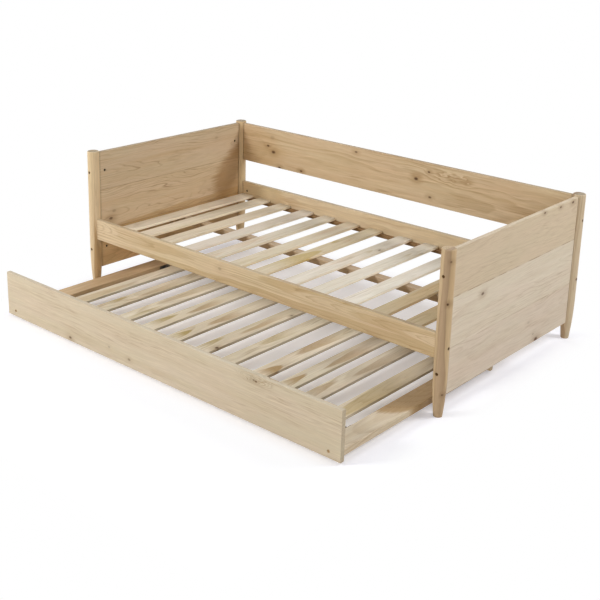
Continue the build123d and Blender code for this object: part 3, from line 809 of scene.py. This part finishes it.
        # ledger_back's dark brown and the beam's darker tone are painted shade under the slats, and the beam's light
        # factor of 1.3 is a painted highlight on its front and back faces.
        beam_painted_shade = Tone("B29C82", "A28A6E", "8A7052")
        brown = Tone("96754F", "876641", "6F5030")
        for node, tone, painted_edge_light in (("ledger_front", plain, 1.0), ("ledger_back", brown, 1.0), ("centre_beam", beam_painted_shade, 1.3)):
            Pine(node, Cut.FLAT_LONG, tone=tone, painted_edge_light=painted_edge_light, seed=draw.uniform(60, 90)).apply()
        for node in ("beam_cleat_left", "beam_cleat_right"):
            Pine(node, Cut.FLAT_CROSS, tone=plain, seed=draw.uniform(60, 90)).apply()


@dataclass
class Trundle:
    """The low frame that rolls out: front panel, rear rail, flat side boards and slats."""

    slat_count: int = 11
    seed: int = 5

    def frame_boards(self) -> None:
        """Dress the boards of the frame."""
        knots = knot_rows(
            (525, 181, 17, 0.1), (549, 178, 4, 0.78), (538, 180, 4, 0.6), (-502, 24, 6, 0.8), (-252, 59, 5, 0.3),
            (-131, 43, 6, 0.5),
        )
        Pine(
            "trundle_front_panel", Cut.UPRIGHT_LONG, name="pine_trundle_front", pith=Pith(-60.0, 70.0, lean=6.0),
            ring_mm=13.0, wobble_mm=4.0, ring_strength=0.26,
            tone=Tone("D8CCB8", "CFC0A6", "A88E6D"), streak=0.5, dash=0.6, dash_mm=(90.0, 4.0),
            knots=knots, curls=(Knot(540, 181, 30, 1.4),), painted_edge_light=0.92, gloss=0.14, seed=63.0,
        ).apply()
        Pine("trundle_rear_rail", Cut.UPRIGHT_LONG, name="pine_trundle_rear", seed=67.0).apply()
        Pine(
            "trundle_side_right", Cut.FLAT_CROSS, pith=Pith(0.0, -42.0, lean=90.0, bow=20.0), ring_mm=14.0,
            wobble_mm=7.0, ring_strength=0.5, tone=Tone("DACDB9", "C9B494", "A08055"), dash=0.6,
            flames=(Flame(-455, 845, 90, 80, "AA8C62", 0.9, 10.0, 1.5),), seed=71.0,
        ).apply()
        Pine(
            "trundle_side_left", Cut.FLAT_CROSS, pith=Pith(20.0, -40.0, lean=20.0), ring_strength=0.4,
            tone=Tone("CEB18C", "BA9A6E", "936F47"), dash=0.5, seed=74.0,
        ).apply()
        for node in ("trundle_ledger_front", "trundle_ledger_rear"):
            Pine(node, Cut.FLAT_LONG, seed=79.0).apply()

    def slats(self) -> None:
        """Dress the slats, many of which hold flames of olive and brown heartwood."""
        usual = Tone("EFE5D2", "E0D0B2", "AD9364")
        duller = Tone("E6DBC6", "D6C6A8", "A68C5F")
        olive, brown = "BBA670", "B49466"
        flames = {
            1: (Flame(-200, -750, -300, 30, "CDB48A", 0.6, 2.5),),
            2: (Flame(-340, -632, -80, 13, olive, 0.75, 1.8), Flame(-330, -600, 120, 18, brown, 0.45, 3.0)),
            3: (Flame(-330, -470, 140, 14, brown, 0.45, 3.0), Flame(-300, -440, -160, 13, olive, 0.4)),
            4: (Flame(-325, -322, -95, 15, olive, 0.85), Flame(-300, -300, 90, 16, brown, 0.65, 3.0)),
            5: (Flame(-400, -153, -50, 17, olive, 1.0, 2.4), Flame(-330, -140, 90, 18, brown, 0.65, 3.0)),
            6: (Flame(-365, -2, -75, 14, olive, 0.75), Flame(-300, 20, 110, 14, brown, 0.6, 3.0)),
            7: (Flame(-330, 158, 80, 18, olive, 0.5, 3.0, 3.0),),
            8: (Flame(-400, 346, -45, 22, brown, 0.9, 3.0), Flame(-290, 322, 90, 20, brown, 0.65, 4.0)),
            9: (Flame(-390, 466, -70, 18, brown, 0.85, 2.4), Flame(-310, 488, 90, 16, brown, 0.65, 4.0)),
            10: (Flame(-350, 590, -110, 20, brown, 0.6, 2.2, 3.0), Flame(-290, 612, 80, 16, brown, 0.45, 4.0)),
            11: (Flame(-700, 765, 260, 32, olive, 0.7, 3.0, 2.0),),
        }
        draw = random.Random(self.seed)
        for number in range(1, self.slat_count + 1):
            lean = draw.choice((-1, 1)) * draw.uniform(40, 110)
            pith = Pith(draw.uniform(-22, 22), draw.uniform(-52, -34), lean, draw.uniform(-120, 120))
            knots = ()
            if number == 6:
                knots = (Knot(3.0, 45.0, 5.0, 0.8), Knot(-462.0, 48.0, 7.0, 1.0))
            # The light factor of 0.75 paints shade on the slats' long side faces.
            Pine(
                f"trundle_slat_{number:02d}", Cut.FLAT_CROSS, pith=pith, ring_mm=12.0, wobble_mm=draw.uniform(6, 11),
                ring_strength=draw.uniform(0.3, 0.5), tone=duller if number in (2, 5, 6, 7) else usual, dash=0.65,
                knots=knots, flames=flames[number], painted_edge_light=0.75, seed=200.0 + 5.3 * number,
            ).apply()


@dataclass
class Hardware:
    """Steel and plastic: bolts, barrel nuts, casters and the slats' staples.

    A staple's crown is given by its length, width and height in metres. staple_apart and staple_inset are how far it
    sits from the slat's middle and from its end. It strays and turns a little, as from a hand-held gun.
    """

    bolt: Metal = Metal("bronzed_steel", "5A452F", "74593A", 0.5)
    # The trundle's bolts are far lighter than bronzed steel: a painted highlight in their dark recesses.
    painted_light_bolt: Metal = Metal("bronzed_steel_painted_light", "A58760", "C4A67C", 0.45)
    nut: Metal = Metal("blackened_steel", "2A231C", "3E342B", 0.5)
    # Zinc darkened and warmed to paint the shade that the casters stand in under the trundle.
    zinc: Metal = Metal("zinc_plated_steel", "7C7468", "938A7D", 0.4)
    nylon: Nylon = Nylon("black_nylon", "1B1B1C", "333334")
    wire: Metal = Metal("staple_wire", "9A9892", "B4B2AC", 0.34)
    crown: Triple = (11.0 * MM, 1.2 * MM, 0.7 * MM)
    staple_apart: float = 17.0 * MM
    staple_inset: float = 12.0 * MM
    staple_stray_mm: float = 4.0
    staple_turn: float = 0.3
    staple_round: float = 0.2 * MM
    seed: int = 3

    def fasteners(self) -> None:
        """Dress bolts and barrel nuts."""
        dress("post_bolts", self.bolt.material())
        dress("trundle_bolts", self.painted_light_bolt.material())
        for node in ("post_barrel_nuts", "trundle_barrel_nuts"):
            dress(node, self.nut.material())

    def staples(self) -> None:
        """Shoot two wire staples through each slat's ends into the ledgers; only their crowns show."""
        draw = random.Random(self.seed)
        stray, swing = self.staple_stray_mm, self.staple_turn
        wire = self.wire.material()
        for body, prefix in (("daybed", "deck_slat_"), ("trundle", "trundle_slat_")):
            shape = bmesh.new()
            for node in sorted(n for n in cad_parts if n.startswith(prefix)):
                low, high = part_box(node)
                for x in (-self.staple_apart, self.staple_apart):
                    for y in (low[1] + self.staple_inset, high[1] - self.staple_inset):
                        spot = Vector(((low[0] + high[0]) / 2 + x + draw.uniform(-stray, stray) * MM, y, high[2]))
                        turn = Matrix.Rotation(draw.uniform(-swing, swing), 4, "Z")
                        place = Matrix.Translation(spot) @ turn @ Matrix.Diagonal((*self.crown, 1.0))
                        bmesh.ops.create_cube(shape, size=1.0, matrix=place)
            bmesh.ops.bevel(
                shape, geom=shape.edges[:], offset=self.staple_round, offset_type="OFFSET", segments=2, profile=0.5,
                affect="EDGES", material=-1,
            )
            piece = make_piece(f"{body}_staples", shape, wire)
            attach(piece, body)

    def casters(self) -> None:
        """Dress the casters' plates, axles, screws and wheels."""
        plate, wheel = self.zinc.material(), self.nylon.material()
        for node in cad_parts:
            if node.startswith("caster_wheel"):
                dress(node, wheel)
            elif node.startswith("caster_"):
                dress(node, plate)


@dataclass(frozen=True)
class Lamp:
    """A round soft lamp: its place and width in metres, and its power in watts."""

    name: str
    place: Triple
    width: float
    watts: float


def seen_rays(tree: Tree) -> Socket:
    """Mask the rays that show the white background: from the camera, off metal and through glass.

    Args:
        tree: Node tree of the floor or of the world.

    Returns:
        One for those rays and zero for the light that falls on the object.
    """
    path = add(tree, "LightPath", {}).node.outputs
    seen = add(tree, "Math", {0: path["Is Camera Ray"], 1: path["Is Glossy Ray"]}, operation="MAXIMUM")
    return add(tree, "Math", {0: seen, 1: path["Is Transmission Ray"]}, operation="MAXIMUM")


@dataclass
class Studio:
    """White floor, white surroundings, soft lamps and the photograph's camera.

    Angles are in degrees and lengths in metres, unless a name says otherwise. The floor keeps the object's shadow on a
    patch with a soft border, and tint_edge inside the patch it has its full tint, which under the bed is warmer and
    paints bounce light. front_band is where, counted from the patch's border, the shadow pales by front_pale in front
    of the trundle. low_band is where, counted from the patch's middle, a darker tint under the trundle paints deeper
    shade.
    """

    azimuth: float = 40.2141
    elevation: float = 16.87
    roll: float = 1.5715
    focal_px: float = 1063.33
    eye_mm: Triple = (2845.43, -3272.55, 1840.17)
    shift: float = -0.15
    clip_end: float = 100.0
    lamps: tuple[Lamp, ...] = (
        Lamp("key", (-2.3, -4.4, 2.8), 1.5, 157.0),
        Lamp("left", (-4.6, -2.6, 2.2), 1.5, 40.0),
        Lamp("right", (4.4, -3.6, 1.9), 2.5, 84.0),
        Lamp("back_right", (3.4, 2.2, 3.3), 1.8, 112.0),
        Lamp("back_left", (-2.6, 3.0, 3.4), 2.0, 34.0),
        Lamp("top", (-0.4, 0.3, 5.0), 3.0, 48.0),
    )
    lamp_aim: Triple = (0.0, 0.1, 0.25)
    world_strength: float = 0.04
    world_colour: str = "FFEACB"
    white: str = "FFFFFF"
    floor_half: float = 14.0
    paper_lit: str = "EAEBF0"
    paper_bounce: str = "DACEBC"
    tint_front: str = "96969C"
    painted_bounce_deck: str = "9D9A99"
    painted_shade_trundle: str = "999592"
    patch_middle: Triple = (0.0, -0.3, 0.0)
    patch_half: Triple = (0.95, 1.05, 0.0)
    patch_edge: float = 0.16
    front_band: tuple[float, float] = (-0.6, -0.5)
    front_pale: float = 0.75
    tint_edge: float = -0.08
    low_band: tuple[float, float] = (0.14, 0.0)

    def camera(self) -> None:
        """Set the camera at the photograph's viewing angle."""
        a, e, r = (math.radians(v) for v in (self.azimuth, self.elevation, self.roll))
        back = Vector((math.sin(a) * math.cos(e), -math.cos(a) * math.cos(e), math.sin(e)))
        level = Vector((0, 0, 1)).cross(back).normalized()
        above = back.cross(level)
        right = math.cos(r) * level + math.sin(r) * above
        up = -math.sin(r) * level + math.cos(r) * above
        data = bpy.data.cameras.new("photo_camera")
        data.sensor_fit = "HORIZONTAL"
        data.sensor_width = SENSOR_MM
        data.lens = self.focal_px / IMAGE_PX * SENSOR_MM
        data.shift_y = self.shift
        data.clip_end = self.clip_end
        eye = bpy.data.objects.new("photo_camera", data)
        turn = Matrix((right, up, back)).transposed().to_4x4()
        eye.matrix_world = Matrix.Translation(Vector(self.eye_mm) * MM) @ turn
        bpy.context.scene.collection.objects.link(eye)
        bpy.context.scene.camera = eye

    def lights(self) -> None:
        """Hang the soft lamps."""
        for lamp in self.lamps:
            data = bpy.data.lights.new(lamp.name, "AREA")
            data.shape = "DISK"
            data.size = lamp.width
            data.energy = lamp.watts
            light = bpy.data.objects.new(lamp.name, data)
            light.visible_camera = False
            place = Vector(lamp.place)
            aim = (Vector(self.lamp_aim) - place).to_track_quat("-Z", "Y")
            light.matrix_world = Matrix.Translation(place) @ aim.to_matrix().to_4x4()
            bpy.context.scene.collection.objects.link(light)

    def surroundings(self) -> None:
        """Make the world white to the eye and a plain soft light to everything else."""
        world = bpy.data.worlds.new("white_studio")
        world.use_nodes = True
        tree = world.node_tree
        tree.nodes.clear()
        seen = seen_rays(tree)
        level = add(tree, "MapRange", {0: seen, 3: self.world_strength, 4: 1.0})
        cast = add(tree, "Mix", {0: seen, 6: linear(self.world_colour), 7: linear(self.white)}, **COLOURS)
        glow = add(tree, "Background", {"Color": cast, "Strength": level})
        add(tree, "OutputWorld", {"Surface": glow})
        bpy.context.scene.world = world

    def floor(self) -> None:
        """Lay the white floor, which keeps a pale shadow."""
        shape = bmesh.new()
        bmesh.ops.create_grid(shape, x_segments=1, y_segments=1, size=self.floor_half)
        floor = make_piece("studio_floor", shape, self.paper())

    def paper(self) -> Material:
        """Build the floor's matt white paper: no gloss, and white but for the soft grey under the bed.

        Returns:
            A material that reads Object coordinates.
        """
        material = empty_material("white_paper_sweep")
        tree = material.node_tree
        place = add(tree, "TexCoord", {}, out="Object")
        # The paper keeps its shadow under the bed and where the trundle rolls; a hand's width outside it is white.
        place = add(tree, "VectorMath", {0: place, 1: self.patch_middle}, operation="SUBTRACT")
        depth = add(tree, "SeparateXYZ", {0: place}).node.outputs[1]
        in_front = add(tree, "Math", {0: depth, 1: 0.0}, operation="LESS_THAN")
        place = add(tree, "VectorMath", {0: place}, operation="ABSOLUTE")
        place = add(tree, "VectorMath", {0: place, 1: self.patch_half}, operation="SUBTRACT")
        beside, before, _ = add(tree, "SeparateXYZ", {0: place}).node.outputs
        away = add(tree, "Math", {0: beside, 1: before}, operation="MAXIMUM")
        far = add(tree, "MapRange", {0: away, 1: 0.0, 2: self.patch_edge}, **SOFT)
        # In front of the pushed-out trundle the shadow is fainter; under the bed a warmer tint paints bounce light, and
        # under the low trundle a darker one paints deeper shade.
        start, stop = self.front_band
        ahead = add(tree, "MapRange", {0: before, 1: start, 2: stop}, **SOFT)
        ahead = add(tree, "Math", {0: ahead, 1: in_front}, operation="MULTIPLY")
        paled = add(tree, "Math", {0: ahead, 1: self.front_pale}, operation="MULTIPLY")
        far = add(tree, "Math", {0: far, 1: paled}, operation="MAXIMUM")
        under = add(tree, "MapRange", {0: away, 1: 0.0, 2: self.tint_edge})
        under = add(tree, "Math", {0: under, 1: ahead}, operation="SUBTRACT", use_clamp=True)
        tint = add(tree, "Mix", {0: under, 6: linear(self.tint_front), 7: linear(self.painted_bounce_deck)}, **COLOURS)
        start, stop = self.low_band
        low = add(tree, "MapRange", {0: depth, 1: start, 2: stop}, **SOFT)
        low = add(tree, "Math", {0: low, 1: under}, operation="MULTIPLY")
        tint = add(tree, "Mix", {0: low, 6: tint, 7: linear(self.painted_shade_trundle)}, **COLOURS)
        glow = add(tree, "Emission", {"Color": tint, "Strength": 1.0})
        lit = add(tree, "BsdfDiffuse", {"Color": linear(self.paper_lit)})
        near = add(tree, "AddShader", {0: glow, 1: lit})
        white = add(tree, "Emission", {"Color": linear(self.white), "Strength": 1.0})
        shown = add(tree, "MixShader", {0: far, 1: near, 2: white})
        paper = add(tree, "BsdfDiffuse", {"Color": linear(self.paper_bounce)})
        both = add(tree, "MixShader", {0: seen_rays(tree), 1: paper, 2: shown})
        add(tree, "OutputMaterial", {"Surface": both})
        return material


def main() -> None:
    """Dress every piece, then set floor, light and camera."""
    logging.basicConfig(level=logging.INFO)
    bpy.context.scene.view_settings.view_transform = "Standard"
    bed = Daybed()
    bed.posts()
    bed.panels()
    bed.rails()
    bed.caps()
    bed.deck()
    trundle = Trundle()
    trundle.frame_boards()
    trundle.slats()
    hardware = Hardware()
    hardware.fasteners()
    hardware.staples()
    hardware.casters()
    studio = Studio()
    studio.floor()
    studio.surroundings()
    studio.lights()
    studio.camera()


if __name__ == "__main__":
    main()
